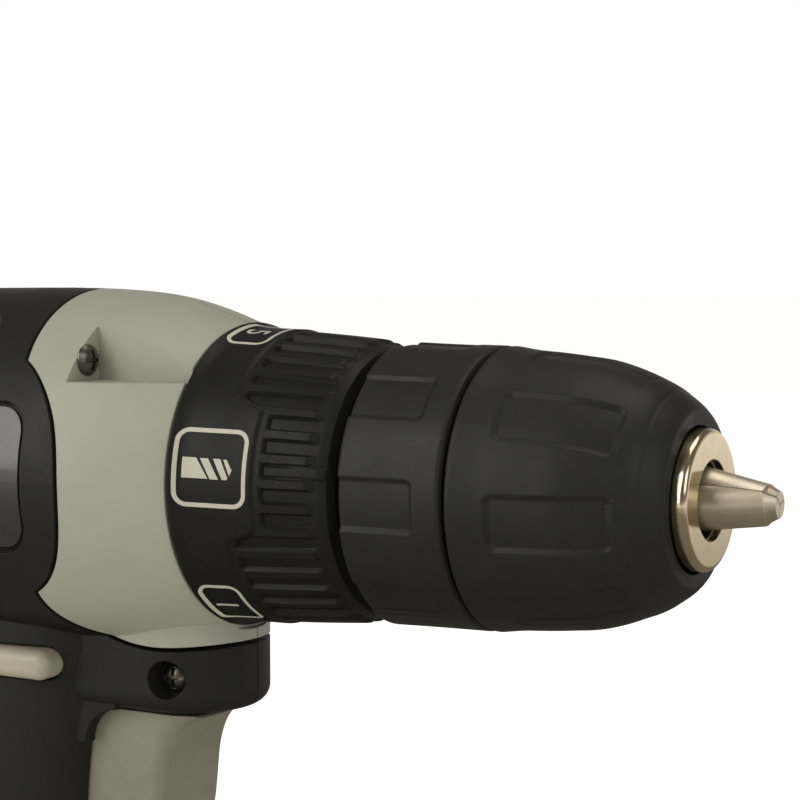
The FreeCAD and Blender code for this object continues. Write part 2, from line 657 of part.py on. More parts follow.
def make_motor():
    front, rear, radius = S.motor_front, S.motor_rear, S.motor_radius
    can = revolved([
        (plain(front), 6.5), (plain(rear), 6.5), (plain(rear), plain(radius)), (plain(front), plain(radius))])
    can = can.cut(cylinder((plain(front) + 1.2, 0, 0), (plain(rear) + 1, 0, 0), plain(radius) - 1.2))
    screw_holes = []
    for turn in (45, 225):
        angle = math.radians(turn)
        spot = (12.5 * math.cos(angle), 12.5 * math.sin(angle))
        screw_holes.append(cylinder((plain(front) - 1, *spot), (plain(front) + 2, *spot), 1.5))
    vents = [spun(block((plain(rear) - 9, 15, -3), (plain(rear) - 4, 20, 3)), turn) for turn in (45, 135, 225, 315)]
    piece("motor_can", can.cut(group(screw_holes + vents)))
    magnet = tube(N.motor_front + 8, N.motor_rear - 14, N.motor_radius - 4.2, N.motor_radius - 1.2)
    halves = []
    for side in (1, -1):
        zone = block((N.motor_front, -14, 0 if side > 0 else -30), (N.motor_rear, 14, 30 if side > 0 else 0))
        halves.append(magnet.common(zone).cut(block((0, -30, -5), (400, 30, 5))))
    piece("motor_magnets", group(halves))
    cap = revolved([
        (N.motor_rear - 1.0, 2.2), (N.motor_rear + 3.5, 2.2), (N.motor_rear + 3.5, 9.0),
        (N.motor_rear + 1.5, 16.5), (N.motor_rear + 0.02, N.motor_radius),
        (N.motor_rear + 0.02, N.motor_radius - 1.25), (N.motor_rear - 1.0, N.motor_radius - 1.25)])
    tabs = [block((N.motor_rear + 1.0, -1.5 + side * 11, -0.4), (N.motor_rear + 6.5, 1.5 + side * 11, 0.4))
            for side in (1, -1)]
    piece("motor_end_cap", fuse([cap] + tabs))
    ring("motor_bush", S.motor_front - 2.0, S.motor_front + 3.0, 1.65, 6.5)
    turned("motor_shaft", [
        (S.stage_one - 0.1, 0.0), (S.stage_one - 0.1, 1.6), (S.motor_rear + 3.0, 1.6), (S.motor_rear + 3.0, 0.0)])
    core = cylinder((N.motor_front + 14, 0, 0), (N.motor_rear - 18, 0, 0), N.motor_radius - 4.7)
    slots = [spun(block((0, 10.5, -0.9), (400, 20, 0.9)), number * 72.0) for number in range(5)]
    wound = [core.cut(group(slots))]
    for start in (N.motor_front + 9, N.motor_rear - 18):
        wound.append(cylinder((start, 0, 0), (start + 5, 0, 0), 11.0))
    armature = fuse(wound).cut(cylinder((0, 0, 0), (400, 0, 0), 1.6))
    piece("armature", armature)
    segments = tube(N.motor_rear - 12.5, N.motor_rear - 3, 1.6, 4.8)
    cuts = [spun(block((N.motor_rear - 11.5, 3.8, -0.25), (N.motor_rear, 6, 0.25)), number * 72 + 36)
            for number in range(5)]
    piece("commutator", segments.cut(group(cuts)))
    hub = tube(N.motor_front + 3.6, N.motor_front + 7.0, 1.6, 5.0)
    blades = [spun(block((N.motor_front + 3.6, 4.5, -0.5), (N.motor_front + 7.0, 15.5, 0.5)), number * 40.0)
              for number in range(9)]
    piece("motor_fan", fuse([hub] + blades))


# ---------------------------------------------------------------- housing

def barrel(inset):
    """Motor housing with its bulging nose, shrunk by inset."""
    front = N.cover_front
    spine = [(front, N.cover_front_radius), (94.5, 26.2), (102.0, 28.2), (113.0, 29.35),
             (126.0, N.barrel_radius), (150.0, N.barrel_radius)]
    curve = Part.BSplineCurve()
    curve.interpolate([Vector(x, r - inset, 0) for x, r in spine])
    rear, radius = N.barrel_rear - inset, N.barrel_radius - inset
    start = 0 if inset == 0 else 1.5
    edges = [
        Part.makeLine(Vector(front + start, 0, 0), curve.value(curve.FirstParameter) + Vector(start, 0, 0))
        if start == 0 else Part.makeLine(Vector(front, 0, 0), curve.value(curve.FirstParameter)),
        curve.toShape(),
        Part.makeLine(Vector(150.0, radius, 0), Vector(rear - 13, radius, 0)),
        Part.Arc(Vector(rear - 13, radius, 0), Vector(rear - 4.0, radius - 4.6, 0), Vector(rear, radius - 14, 0)).toShape(),
        Part.makeLine(Vector(rear, radius - 14, 0), Vector(rear, 0, 0)),
        Part.makeLine(Vector(rear, 0, 0), Vector(front, 0, 0))]
    return Part.Face(Part.Wire(edges)).revolve(Vector(0, 0, 0), Vector(1, 0, 0), 360)


def stadium(inset, low, high):
    """Round-fronted chin that runs back into the handle."""
    radius = N.chin_radius - inset
    front = N.chin_station
    chin = fuse([
        cylinder((front, 0, low), (front, 0, high), radius),
        block((front, -radius, low), (front + 40, radius, high))])
    return chin


def outer_solid():
    chin = stadium(0.0, N.chin_bottom, -15.0)
    chin = rounded(chin, 3.0, lambda edge: edge.CenterOfMass.z < N.chin_bottom + 0.1 and
                   edge.BoundBox.XMin < N.chin_station + 39)
    flange = block((79.5, -27.0, N.flange_bottom), (172.5, 27.0, N.flange_top))
    flange = rounded(flange, 12.0, lambda edge: edge.BoundBox.ZLength > 5)
    flange = rounded(flange, 3.5, lambda edge: edge.CenterOfMass.z > N.flange_top - 0.1)
    web = block((107.4, -11.7, -44.4), (121.0, 11.7, N.chin_bottom + 1.0))
    web = web.cut(cylinder((107.4, -20, -44.4), (107.4, 20, -44.4), 6.0))
    solid = fuse([barrel(0.0), chin, handle_loft(0.0), flange, web])

    def junction(edge):
        box = edge.BoundBox
        centre = edge.CenterOfMass
        on_flange = abs(box.ZMin - N.flange_top) < 0.3 and box.ZLength < 0.3 and abs(centre.y) < 24
        inside_flange = box.XMin > 84 and box.XMax < 169 and box.YMax < 25
        return on_flange and inside_flange
    return rounded(solid, 5.0, junction)


def inner_solid():
    wall = N.wall
    core = barrel(wall)
    front_opening = cylinder((N.cover_front - 1, 0, 0), (N.cover_front + 6, 0, 0), N.cover_front_radius - wall)
    chin = stadium(wall, N.chin_bottom + wall, -15.0)
    return fuse([core, front_opening, chin, handle_loft(wall)])


def grey_zone(grow):
    """Side-view zone of the grey nose cover, grown by grow along its rear and lower edge."""
    edge = [Vector(117.5 + grow, 0, 40), Vector(117.0 + grow, 0, 28.5), Vector(115.2 + grow, 0, 18.5),
            Vector(110.5 + grow, 0, 15.0), Vector(106.7 + grow, 0, 9.5), Vector(105.1 + grow, 0, 0),
            Vector(106.5 + grow, 0, -10.5), Vector(113.5 + grow, 0, -18.0),
            Vector(112.2 + grow * 0.8, 0, -22.5 - grow * 0.8),
            Vector(106.0, 0, -26.2 - grow), Vector(98.0, 0, N.chin_top - 0.6 - grow),
            Vector(86.0, 0, N.chin_top - grow)]
    upper = Part.BSplineCurve()
    upper.interpolate(edge[:3])
    waist = Part.BSplineCurve()
    waist.interpolate(edge[2:8])
    lower = Part.BSplineCurve()
    lower.interpolate(edge[7:])
    pieces = [upper.toShape(), waist.toShape(), lower.toShape(),
              Part.makeLine(edge[-1], Vector(70, 0, edge[-1].z)),
              Part.makeLine(Vector(70, 0, edge[-1].z), Vector(70, 0, 40)),
              Part.makeLine(Vector(70, 0, 40), edge[0])]
    face = Part.Face(Part.Wire(pieces))
    zone = face.extrude(Vector(0, 80, 0))
    zone.translate(Vector(0, -40, 0))
    return zone


def housing_ribs():
    """Rings inside the housing that hold the motor and the gearbox."""
    ribs = []
    for station, bore in ((130.0, N.motor_radius + 0.1), (166.0, N.motor_radius + 0.1), (112.0, N.box_radius + 0.1)):
        ribs.append(tube(station, station + 2.2, bore, N.barrel_radius - 1.0))
    return ribs


SCREW_PLACES = [(97.0, -32.4, 8.8), (150.0, -22.5, 15.0), (164.0, 22.5, 15.0), (128.0, 22.5, 15.0),
                (151.3, -56.0, 11.0), (92.0, -125.0, 22.0), (165.0, -125.0, 22.0)]
NOSE_SCREW = (106.5, 19.2, 18.6)
POCKET_FLOOR = 16.3


def bosses(places, radius):
    return [cylinder((x, -26.5, z), (x, 26.5, z), radius) for x, z, depth in places]


def panel_recess(side, depth, grow):
    """Sunk panel for the label on the side of the motor housing."""
    shape = rounded(block((112.0 - grow, 20.0, -11.6 - grow), (160.0 + grow, 40.0, 12.3 + grow)), 5.0,
                    lambda edge: edge.BoundBox.YLength > 10)
    shell = barrel(depth)
    return shape.cut(shell) if side > 0 else shape.cut(shell).mirror(Vector(0, 0, 0), Vector(0, 1, 0))


def vents():
    """Cooling slots through both sides of the motor housing's rear."""
    cuts = []
    for number in range(4):
        for level in (-12.0, 12.0):
            station = 167.0 + number * 4.4
            cuts.append(fuse([
                block((station - 1.0, -40, level - 5.5), (station + 1.0, 40, level + 5.5)),
                cylinder((station, -40, level - 5.5), (station, 40, level - 5.5), 1.0),
                cylinder((station, -40, level + 5.5), (station, 40, level + 5.5), 1.0)]))
    return cuts


def make_housing():
    outer, inner = outer_solid(), inner_solid()
    ribs = fuse([rib.common(outer) for rib in housing_ribs()])
    posts = [post.common(outer) for post in bosses(SCREW_PLACES, 4.6)]
    pocket_rear, y, z = NOSE_SCREW
    posts.append(cylinder((pocket_rear, y, z), (pocket_rear + 15, y, z), 3.0).common(outer))
    nose_bore = cylinder((pocket_rear - 1, y, z), (pocket_rear + 12.5, y, z), 1.4)
    keep_out = fuse([
        cylinder((N.cover_front - 2, 0, 0), (N.box_rear + 4, 0, 0), N.box_radius + 0.1),
        cylinder((N.box_rear, 0, 0), (N.motor_rear + 8, 0, 0), N.motor_radius + 0.1)])
    inside = fuse([ribs] + posts).cut(keep_out).common(inner)
    shell = fuse([outer.cut(inner), inside])
    bore = [cylinder((x, -7.5, z), (x, 30, z), 1.45) for x, z, depth in SCREW_PLACES]
    bore.append(nose_bore)
    sinks = [cylinder((x, depth, z), (x, 40, z), 3.1) for x, z, depth in SCREW_PLACES]
    trigger_gap = block((90.0, -9.35, -74.6), (121.5, 9.35, N.chin_bottom - 0.02))
    button_slot = pill(N.button_front - 0.35, N.button_length + 0.7, N.button_level, N.button_radius + 0.35, -30, 30)
    socket = block((121.3, -12.2, -140), (148.7, 12.2, N.tower_top + 1.0))
    shell = shell.cut(group(bore)).cut(group(sinks)).cut(trigger_gap).cut(button_slot).cut(socket)
    shell = shell.cut(cylinder((80, 0, 0), (N.cover_front - 0.05, 0, 0), N.collar_rear_radius + 0.6))
    shell = shell.cut(vents()).cut(panel_recess(1, 1.1, 0)).cut(panel_recess(-1, 1.1, 0))
    nose_shell = shell.common(grey_zone(0.0))
    black_shell = shell.cut(grey_zone(N.groove))
    recess = block((80.0, POCKET_FLOOR, 15.4), (pocket_rear, 40, 40))
    pocket_wall = block((80.0, POCKET_FLOOR - 1.8, 14.0), (pocket_rear + 1.7, 40, 40)).common(barrel(0.0))
    pocket_wall = pocket_wall.common(grey_zone(0.0)).cut(recess)
    pocket_wall = pocket_wall.cut(cylinder((80, 0, 0), (130, 0, 0), N.box_radius + 0.1))
    nose_shell = fuse([nose_shell.cut(recess), pocket_wall]).cut(nose_bore)
    for name, shape in (("nose_cover", nose_shell), ("housing", black_shell)):
        for side, word in ((1, "right"), (-1, "left")):
            low, high = (N.seam, 60) if side > 0 else (-60, -N.seam)
            half = shape.common(block((60, low, -150), (200, high, 60)))
            piece("%s_%s" % (name, word), max(half.Solids, key=lambda solid: solid.Volume))


def make_labels():
    for side, word in ((1, "right"), (-1, "left")):
        shape = rounded(block((112.9, 20.0, -10.7), (159.1, 40.0, 11.4)), 4.2,
                        lambda edge: edge.BoundBox.YLength > 10)
        label = shape.common(barrel(0.7)).cut(barrel(1.1))
        if side < 0:
            label = label.mirror(Vector(0, 0, 0), Vector(0, 1, 0))
        piece("rating_plate_" + word, label)


def make_screws():
    long_screws = [pan_screw((x, depth, z), (0, -1, 0), 1.45, depth + 7.0) for x, z, depth in SCREW_PLACES]
    piece("housing_screws", group(long_screws))
    piece("nose_screw", pan_screw(NOSE_SCREW, (1, 0, 0), 1.4, 12.0))


# ---------------------------------------------------------------- controls

def make_controls():
    face, half = N.trigger_face, N.trigger_half
    top, rear = N.trigger_top, N.trigger_rear
    front_curve = [(face - 6.8, top - 0.4), (face - 3.2, top - 1.9), (face - 1.4, top - 4.6), (face, top - 11.0),
                   (face + 0.9, top - 18.5), (face + 3.4, top - 27.0), (face + 5.6, top - 33.6)]
    square = [front_curve[-1], (rear, top - 34.7), (rear, top), (face - 6.2, top), front_curve[0]]
    curve = Part.BSplineCurve()
    curve.interpolate([Vector(x, -half, z) for x, z in front_curve])
    edges = [curve.toShape()]
    for start, end in zip(square, square[1:]):
        edges.append(Part.makeLine(Vector(start[0], -half, start[1]), Vector(end[0], -half, end[1])))
    body = Part.Face(Part.Wire(edges)).extrude(Vector(0, 2 * half, 0))
    body = rounded(body, 2.5, lambda edge: edge.CenterOfMass.x < face + 7 and edge.BoundBox.ZLength > 20)
    hollow = block((face + 9.5, -half + 1.6, -71.5), (rear + 1, half - 1.6, -43.6))
    plunger = cylinder((face + 8, 0, -52), (134, 0, -52), 2.6)
    trigger = fuse([body.cut(hollow), plunger])
    piece("trigger", trigger)
    piece("trigger_spring", coil(4.0, 0.4, face + 9.55, 127.9, 4, (0, -52)))
    switch = block((128, -9.5, -70.5), (146, 9.5, -43.5))
    switch = rounded(switch, 1.2, lambda edge: edge.BoundBox.YLength > 10)
    switch = switch.cut(cylinder((127, 0, -52), (142, 0, -52), 2.7))
    piece("trigger_switch", switch)
    button = pill(N.button_front, N.button_length, N.button_level, N.button_radius,
                  -N.button_half, N.button_half)
    button = rounded(button, 1.9, lambda edge: edge.BoundBox.YLength < 0.1)
    piece("direction_button", button)


# ---------------------------------------------------------------- battery pack

def make_battery():
    low, top = -N.axis_height, N.foot_top
    front, rear = N.foot_station - N.foot_length / 2, N.foot_station + N.foot_length / 2
    half, split = N.foot_half, -158.0

    def rounded_box(x0, x1, y, z0, z1, radius):
        return rounded(block((x0, -y, z0), (x1, y, z1)), radius, lambda edge: edge.BoundBox.ZLength > 3)

    base = rounded_box(front, rear, half, low, split, 12)
    base = rounded(base, 3.0, lambda edge: edge.CenterOfMass.z < low + 0.1)
    base = base.cut(rounded_box(front + 2.4, rear - 2.4, half - 2.4, low + 2.4, split + 1, 9.6))
    piece("battery_base", base)
    case = rounded_box(front, rear, half, split + 0.3, top, 12)
    case = rounded(case, 3.0, lambda edge: edge.CenterOfMass.z > top - 0.1)
    tower = rounded(block((122.0, -11.5, top - 1), (148.0, 11.5, N.tower_top)), 4.0,
                    lambda edge: edge.BoundBox.ZLength > 3)
    case = fuse([case, tower])
    case = case.cut(rounded_box(front + 2.4, rear - 2.4, half - 2.4, split - 1, top - 2.4, 9.6))
    case = case.cut(block((124.0, -9.7, top - 4), (146.0, 9.7, N.tower_top - 2.0)))
    for side in (1, -1):
        window = block((120.6, 20, -146.4), (131.4, 40, -135.6))
        case = case.cut(window if side > 0 else window.mirror(Vector(0, 0, 0), Vector(0, 1, 0)))
        seat = block((124.7, 17.0, -145.0), (127.3, 18.9, top - 1.0))
        case = case.fuse(seat if side > 0 else seat.mirror(Vector(0, 0, 0), Vector(0, 1, 0)))
    slots = [block((126, y - 0.6, N.tower_top - 3), (144, y + 0.6, N.tower_top + 1)) for y in (-7, 7)]
    piece("battery_case", case.cut(slots))
    cells = []
    for column in range(4):
        for row in (-1, 1):
            x, y = N.foot_station + (column - 1.5) * 22.7, row * 11.35
            cells.append(cylinder((x, y, low + 2.5), (x, y, low + 2.5 + 42.0), N.cell_radius))
    piece("battery_cells", group(cells))
    blades = [block((127, y - 0.4, N.tower_top - 14), (143, y + 0.4, N.tower_top + 5)) for y in (-7, 7)]
    feet = [block((127, y - 2.4, N.tower_top - 14.8), (143, y + 2.4, N.tower_top - 14)) for y in (-7, 7)]
    piece("battery_terminals", group([blade.fuse(foot) for blade, foot in zip(blades, feet)]))
    for side, word in ((1, "right"), (-1, "left")):
        button = block((121.0, 25.5, -146.0), (131.0, half + 1.6, -136.0))
        button = rounded(button, 1.2, lambda edge: abs(edge.CenterOfMass.y - half - 1.6) < 0.01)
        lip = block((120.0, 25.0, -147.0), (132.0, 26.4, -135.0))
        latch = fuse([button, lip])
        spring = coil(1.9, 0.3, 0, 6.0, 4)
        spring.rotate(Vector(0, 0, 0), Vector(0, 0, 1), 90)
        spring.translate(Vector(126, 18.95, -141))
        if side < 0:
            latch = latch.mirror(Vector(0, 0, 0), Vector(0, 1, 0))
            spring = spring.mirror(Vector(0, 0, 0), Vector(0, 1, 0))
        piece("latch_button_" + word, latch)
        piece("latch_spring_" + word, spring)


def make_terminal_block():
    body = block((124.0, -12.9, N.tower_top + 1.5), (146.0, 12.9, N.tower_top + 5.2))
    sockets = [block((126.0, y - 1.2, N.tower_top), (144.0, y + 1.2, N.tower_top + 6)) for y in (-7, 7)]
    piece("terminal_block", body.cut(group(sockets)))


def check_and_export():
    os.makedirs("parts", exist_ok=True)
    doc.recompute()
    for item in doc.Objects:
        if "Invalid" in item.State or "Error" in item.State:
            raise RuntimeError("%s failed: %s" % (item.Label, item.State))
    for item in PIECES:
        if item.Shape.isNull() or not item.Shape.isValid():
            raise RuntimeError(item.Label + " has no valid shape")
    for item in PIECES:
        item.Shape.exportStep("parts/%s.step" % item.Label)
    print(len(PIECES), "pieces written")


make_chuck()
make_collar()
make_clutch()
make_gearbox()
make_motor()
make_housing()
make_labels()
make_screws()
make_controls()
make_battery()
make_terminal_block()
check_and_export()
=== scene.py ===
import math

import bmesh
import bpy
import numpy as np
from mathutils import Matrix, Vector


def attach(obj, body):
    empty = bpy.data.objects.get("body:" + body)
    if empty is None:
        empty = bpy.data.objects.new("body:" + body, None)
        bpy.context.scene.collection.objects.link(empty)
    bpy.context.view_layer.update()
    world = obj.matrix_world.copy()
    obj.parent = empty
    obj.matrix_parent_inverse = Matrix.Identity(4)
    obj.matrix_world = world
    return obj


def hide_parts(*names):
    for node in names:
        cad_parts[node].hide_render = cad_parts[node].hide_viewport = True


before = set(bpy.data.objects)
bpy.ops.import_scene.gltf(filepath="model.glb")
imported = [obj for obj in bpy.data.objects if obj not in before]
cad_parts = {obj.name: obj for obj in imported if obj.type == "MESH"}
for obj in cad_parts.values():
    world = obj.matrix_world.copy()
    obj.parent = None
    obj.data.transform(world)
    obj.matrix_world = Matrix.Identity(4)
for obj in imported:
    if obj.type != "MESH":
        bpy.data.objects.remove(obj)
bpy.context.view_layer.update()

MM = 0.001
AXIS_HEIGHT = 178.0
FOOT_STATION = 126.0


def row(station, right, up):
    """Row-frame point in metres, from mm behind the jaw tips, to the right and above the axis."""
    return Vector(((FOOT_STATION - station) * MM, -right * MM, (AXIS_HEIGHT + up) * MM))


def around(station, radius, turn):
    """Point round the spindle axis. The turn is in degrees from the drill's right, upward."""
    angle = math.radians(turn)
    return row(station, radius * math.cos(angle), radius * math.sin(angle))


# ---------------------------------------------------------------- materials

def linear(*levels):
    """Linear colour of an 8-bit display colour."""
    shares = [level / 255 for level in levels]
    return [s / 12.92 if s < 0.04045 else ((s + 0.055) / 1.055) ** 2.4 for s in shares]


class Shader:
    """A principled material and the few node chains that the finishes here are made of."""

    def __init__(self, name, colour, roughness, metallic=0.0, coat=0.0, specular=0.5):
        self.material = bpy.data.materials.new(name)
        self.material.use_nodes = True
        self.tree = self.material.node_tree
        self.bsdf = self.tree.nodes["Principled BSDF"]
        self.colour = linear(*colour)
        self.roughness = roughness
        self.normal = None
        self.place = self.node("ShaderNodeTexCoord").outputs["Object"]
        self.tint = None
        self.bsdf.inputs["Base Color"].default_value = [*self.colour, 1]
        self.bsdf.inputs["Roughness"].default_value = roughness
        self.bsdf.inputs["Metallic"].default_value = metallic
        self.bsdf.inputs["Coat Weight"].default_value = coat
        self.bsdf.inputs["Coat Roughness"].default_value = 0.12
        self.bsdf.inputs["Specular IOR Level"].default_value = specular

    def node(self, kind, **settings):
        made = self.tree.nodes.new(kind)
        for key, value in settings.items():
            setattr(made, key, value)
        return made

    def link(self, output, target):
        self.tree.links.new(output, target)

    def stretched(self, scale):
        mapping = self.node("ShaderNodeMapping")
        mapping.inputs["Scale"].default_value = scale
        self.link(self.place, mapping.inputs["Vector"])
        return mapping.outputs["Vector"]

    def noise(self, size, detail=3.0, stretch=None):
        """Noise whose blobs are about size millimetres across."""
        made = self.node("ShaderNodeTexNoise")
        made.inputs["Scale"].default_value = 1 / (size * MM)
        made.inputs["Detail"].default_value = detail
        self.link(self.stretched(stretch) if stretch else self.place, made.inputs["Vector"])
        return made.outputs["Fac"]

    def steps(self, value, low, high, dark=0.0, light=1.0):
        """The value spread from low..high to dark..light."""
        made = self.node("ShaderNodeMapRange")
        made.inputs["From Min"].default_value = low
        made.inputs["From Max"].default_value = high
        made.inputs["To Min"].default_value = dark
        made.inputs["To Max"].default_value = light
        self.link(value, made.inputs["Value"])
        return made.outputs["Result"]

    def mix_colour(self, mask, colour):
        mix = self.node("ShaderNodeMix", data_type="RGBA")
        if self.tint is None:
            mix.inputs["A"].default_value = [*self.colour, 1]
        else:
            self.link(self.tint, mix.inputs["A"])
        mix.inputs["B"].default_value = [*colour, 1]
        self.link(mask, mix.inputs["Factor"])
        self.tint = mix.outputs["Result"]
        self.link(self.tint, self.bsdf.inputs["Base Color"])

    def mottle(self, size, share, lighter=1.35, darker=0.7):
        """Slow variation of colour, as in moulded or worn stock."""
        slow = self.noise(size, 4.0)
        self.mix_colour(self.steps(slow, 0.5, 0.75, 0.0, share), [min(1, c * lighter) for c in self.colour])
        self.mix_colour(self.steps(slow, 0.5, 0.25, 0.0, share), [c * darker for c in self.colour])

    def specks(self, size, amount, colour, share):
        """Scattered dust or flecks."""
        fine = self.noise(size, 1.0)
        self.mix_colour(self.steps(fine, amount, amount + 0.04, 0.0, share), linear(*colour))

    def uneven(self, size, spread, stretch=None):
        """Roughness that varies about its middle value."""
        value = self.noise(size, 3.0, stretch)
        low, high = max(0.03, self.roughness - spread), self.roughness + spread
        self.link(self.steps(value, 0.3, 0.7, low, high), self.bsdf.inputs["Roughness"])

    def soften_edges(self, radius):
        """Edges of the mesh shade as if rounded."""
        bevel = self.node("ShaderNodeBevel")
        bevel.samples = 4
        bevel.inputs["Radius"].default_value = radius * MM
        self.normal = bevel.outputs["Normal"]
        self.link(self.normal, self.bsdf.inputs["Normal"])

    def bump(self, value, depth):
        """A relief of depth millimetres from a texture value."""
        made = self.node("ShaderNodeBump")
        made.inputs["Strength"].default_value = 1.0
        made.inputs["Distance"].default_value = depth * MM
        self.link(value, made.inputs["Height"])
        if self.normal is not None:
            self.link(self.normal, made.inputs["Normal"])
        self.normal = made.outputs["Normal"]
        self.link(self.normal, self.bsdf.inputs["Normal"])


def moulded(name, colour, roughness, grain=0.35, depth=0.012, edge=0.35, dust=None, coat=0.0, drift=0.3,
            specular=0.5):
    """Moulded plastic: spark-eroded grain, slow colour drift, uneven sheen and a little dust."""
    made = Shader(name, colour, roughness, coat=coat, specular=specular)
    made.mottle(14.0, drift)
    made.mottle(1.6, drift / 2)
    if dust:
        made.specks(0.3, 0.74, dust, 0.12)
    made.uneven(7.0, 0.06)
    if edge:
        made.soften_edges(edge)
    made.bump(made.noise(grain, 2.0), depth)
    made.bump(made.noise(5.0, 2.0), 0.03)
    return made.material


def metal(name, colour, roughness, streaks=(1, 1, 1), scratch=0.25, depth=0.004, edge=0.2):
    """Bare or plated metal with fine tool marks along one direction."""
    made = Shader(name, colour, roughness, metallic=1.0)
    made.mottle(3.0, 0.35, 1.2, 0.75)
    made.uneven(scratch, 0.08, streaks)
    made.soften_edges(edge)
    made.bump(made.noise(scratch, 2.0, streaks), depth)
    return made.material


PALE_DUST = (150, 146, 128)
FINISH = {
    "black_housing": moulded("black_housing", (27, 27, 21), 0.48, dust=PALE_DUST, specular=0.2),
    "sleeve_black": moulded("sleeve_black", (27, 27, 22), 0.5, grain=0.22, depth=0.007, edge=0,
                            dust=PALE_DUST, specular=0.26),
    "collar_black": moulded("collar_black", (22, 22, 18), 0.46, grain=0.25, depth=0.006, edge=0,
                            dust=PALE_DUST, specular=0.15),
    "grey_cover": moulded("grey_cover", (131, 130, 115), 0.45, grain=0.3, depth=0.008, dust=(200, 195, 176),
                          drift=0.1, specular=0.4),
    "trigger_grey": moulded("trigger_grey", (108, 104, 87), 0.48, dust=(170, 165, 145)),
    "button_beige": moulded("button_beige", (140, 133, 114), 0.4, depth=0.005),
    "mark_cream": moulded("mark_cream", (152, 148, 132), 0.55, grain=0.15, depth=0.004, edge=0),
    "label_gloss": moulded("label_gloss", (38, 38, 33), 0.24, depth=0.002, edge=0.15, coat=0.3),
    "battery_black": moulded("battery_black", (29, 29, 24), 0.46, dust=PALE_DUST, specular=0.35),
    "battery_grey": moulded("battery_grey", (118, 117, 104), 0.46, dust=(180, 175, 156)),
    "inner_plastic": moulded("inner_plastic", (58, 58, 54), 0.5),
    "cell_wrap": moulded("cell_wrap", (52, 82, 60), 0.3, depth=0.003),
    "polished_nickel": metal("polished_nickel", (232, 214, 180), 0.16, (1, 6, 6), 0.3, 0.0012),
    "jaw_steel": metal("jaw_steel", (226, 214, 192), 0.4, (40, 1, 1), 0.4, 0.004, edge=0.12),
    "machined_steel": metal("machined_steel", (170, 168, 160), 0.3, (30, 1, 1), 0.3),
    "black_screw": metal("black_screw", (112, 108, 98), 0.34, depth=0.002),
    "contact_brass": metal("contact_brass", (196, 160, 92), 0.3),
    "copper_winding": metal("copper_winding", (176, 96, 60), 0.35, (1, 1, 12), 0.4, 0.02),
}

NODE_FINISH = {
    "black_housing": ["housing_left", "housing_right"],
    "grey_cover": ["nose_cover_left", "nose_cover_right"],
    "label_gloss": ["rating_plate_left", "rating_plate_right"],
    "black_screw": ["housing_screws", "nose_screw"],
    "trigger_grey": ["trigger", "latch_button_left", "latch_button_right"],
    "button_beige": ["direction_button"],
    "polished_nickel": ["chuck_nose_ring"],
    "jaw_steel": ["chuck_jaw_1", "chuck_jaw_2", "chuck_jaw_3"],
    "battery_black": ["battery_case"],
    "battery_grey": ["battery_base"],
    "cell_wrap": ["battery_cells"],
    "contact_brass": ["battery_terminals", "commutator"],
    "copper_winding": ["armature"],
    "inner_plastic": ["terminal_block", "trigger_switch", "gearbox_housing", "motor_end_cap", "motor_fan"],
    "sleeve_black": ["chuck_front_sleeve", "chuck_rear_sleeve"],
    "collar_black": ["torque_collar"],
}


def finish_node(node, finish):
    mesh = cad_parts[node].data
    mesh.materials.clear()
    mesh.materials.append(FINISH[finish])


def finish_nodes():
    """Every CAD node gets its material; what isn't listed is bare machined steel."""
    listed = {node: finish for finish, nodes in NODE_FINISH.items() for node in nodes}
    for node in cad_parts:
        finish_node(node, listed.get(node, "machined_steel"))


# ---------------------------------------------------------------- turned pieces with moulded relief

def smooth(value):
    value = np.clip(value, 0, 1)
    return value * value * (3 - 2 * value)


def rounded_box(u, v, half_u, half_v, corner):
    """Signed distance to a rounded rectangle, negative inside."""
    du = np.abs(u) - (half_u - corner)
    dv = np.abs(v) - (half_v - corner)
    outside = np.hypot(np.maximum(du, 0), np.maximum(dv, 0))
    return outside + np.minimum(np.maximum(du, dv), 0) - corner


def recess(distance, edge):
    """1 inside the outline, 0 outside, with a sloping edge that ends at the outline."""
    return smooth(-distance / edge)


def nearest(turns, centre, pitch):
    """Turn from the nearest of the features that repeat every pitch degrees from centre."""
    return (turns - centre + pitch / 2) % pitch - pitch / 2


def turned_mesh(name, outer, inner, relief, step=0.4, turns=720):
    """Closed ring. The outer outline, front to rear, carries the relief; the inner one comes back forward."""
    carried = spread(outer, step)
    stations = np.array([p[0] for p in carried + inner])
    radii = np.array([p[1] for p in carried + inner])
    angles = np.arange(turns) * 360.0 / turns
    grid_s, grid_a = np.meshgrid(stations, angles, indexing="ij")
    depth = np.zeros_like(grid_s)
    count = len(carried)
    depth[:count] = relief(grid_s[:count], grid_a[:count], radii[:count, None])
    grid_r = radii[:, None] - depth
    a = np.radians(grid_a)
    xs = (FOOT_STATION - grid_s) * MM
    ys = -grid_r * np.cos(a) * MM
    zs = (AXIS_HEIGHT + grid_r * np.sin(a)) * MM
    points = np.stack([xs, ys, zs], axis=-1).reshape(-1, 3)
    rows, columns = grid_s.shape
    i, j = np.meshgrid(np.arange(rows), np.arange(columns), indexing="ij")
    i2, j2 = (i + 1) % rows, (j + 1) % columns
    faces = np.stack([i * columns + j, i * columns + j2, i2 * columns + j2, i2 * columns + j], axis=-1)
    mesh = bpy.data.meshes.new(name)
    mesh.from_pydata(points.tolist(), [], faces.reshape(-1, 4).tolist())
    mesh.update()
    return mesh


def spread(points, step):
    """The outline's points with more added, so that none is further than step from the next."""
    found = []
    for (s0, r0), (s1, r1) in zip(points, points[1:]):
        count = max(1, int(math.ceil(math.hypot(s1 - s0, r1 - r0) / step)))
        found += [(s0 + (s1 - s0) * k / count, r0 + (r1 - r0) * k / count) for k in range(count)]
    return found + [points[-1]]


SHARP_EDGE = 35.0


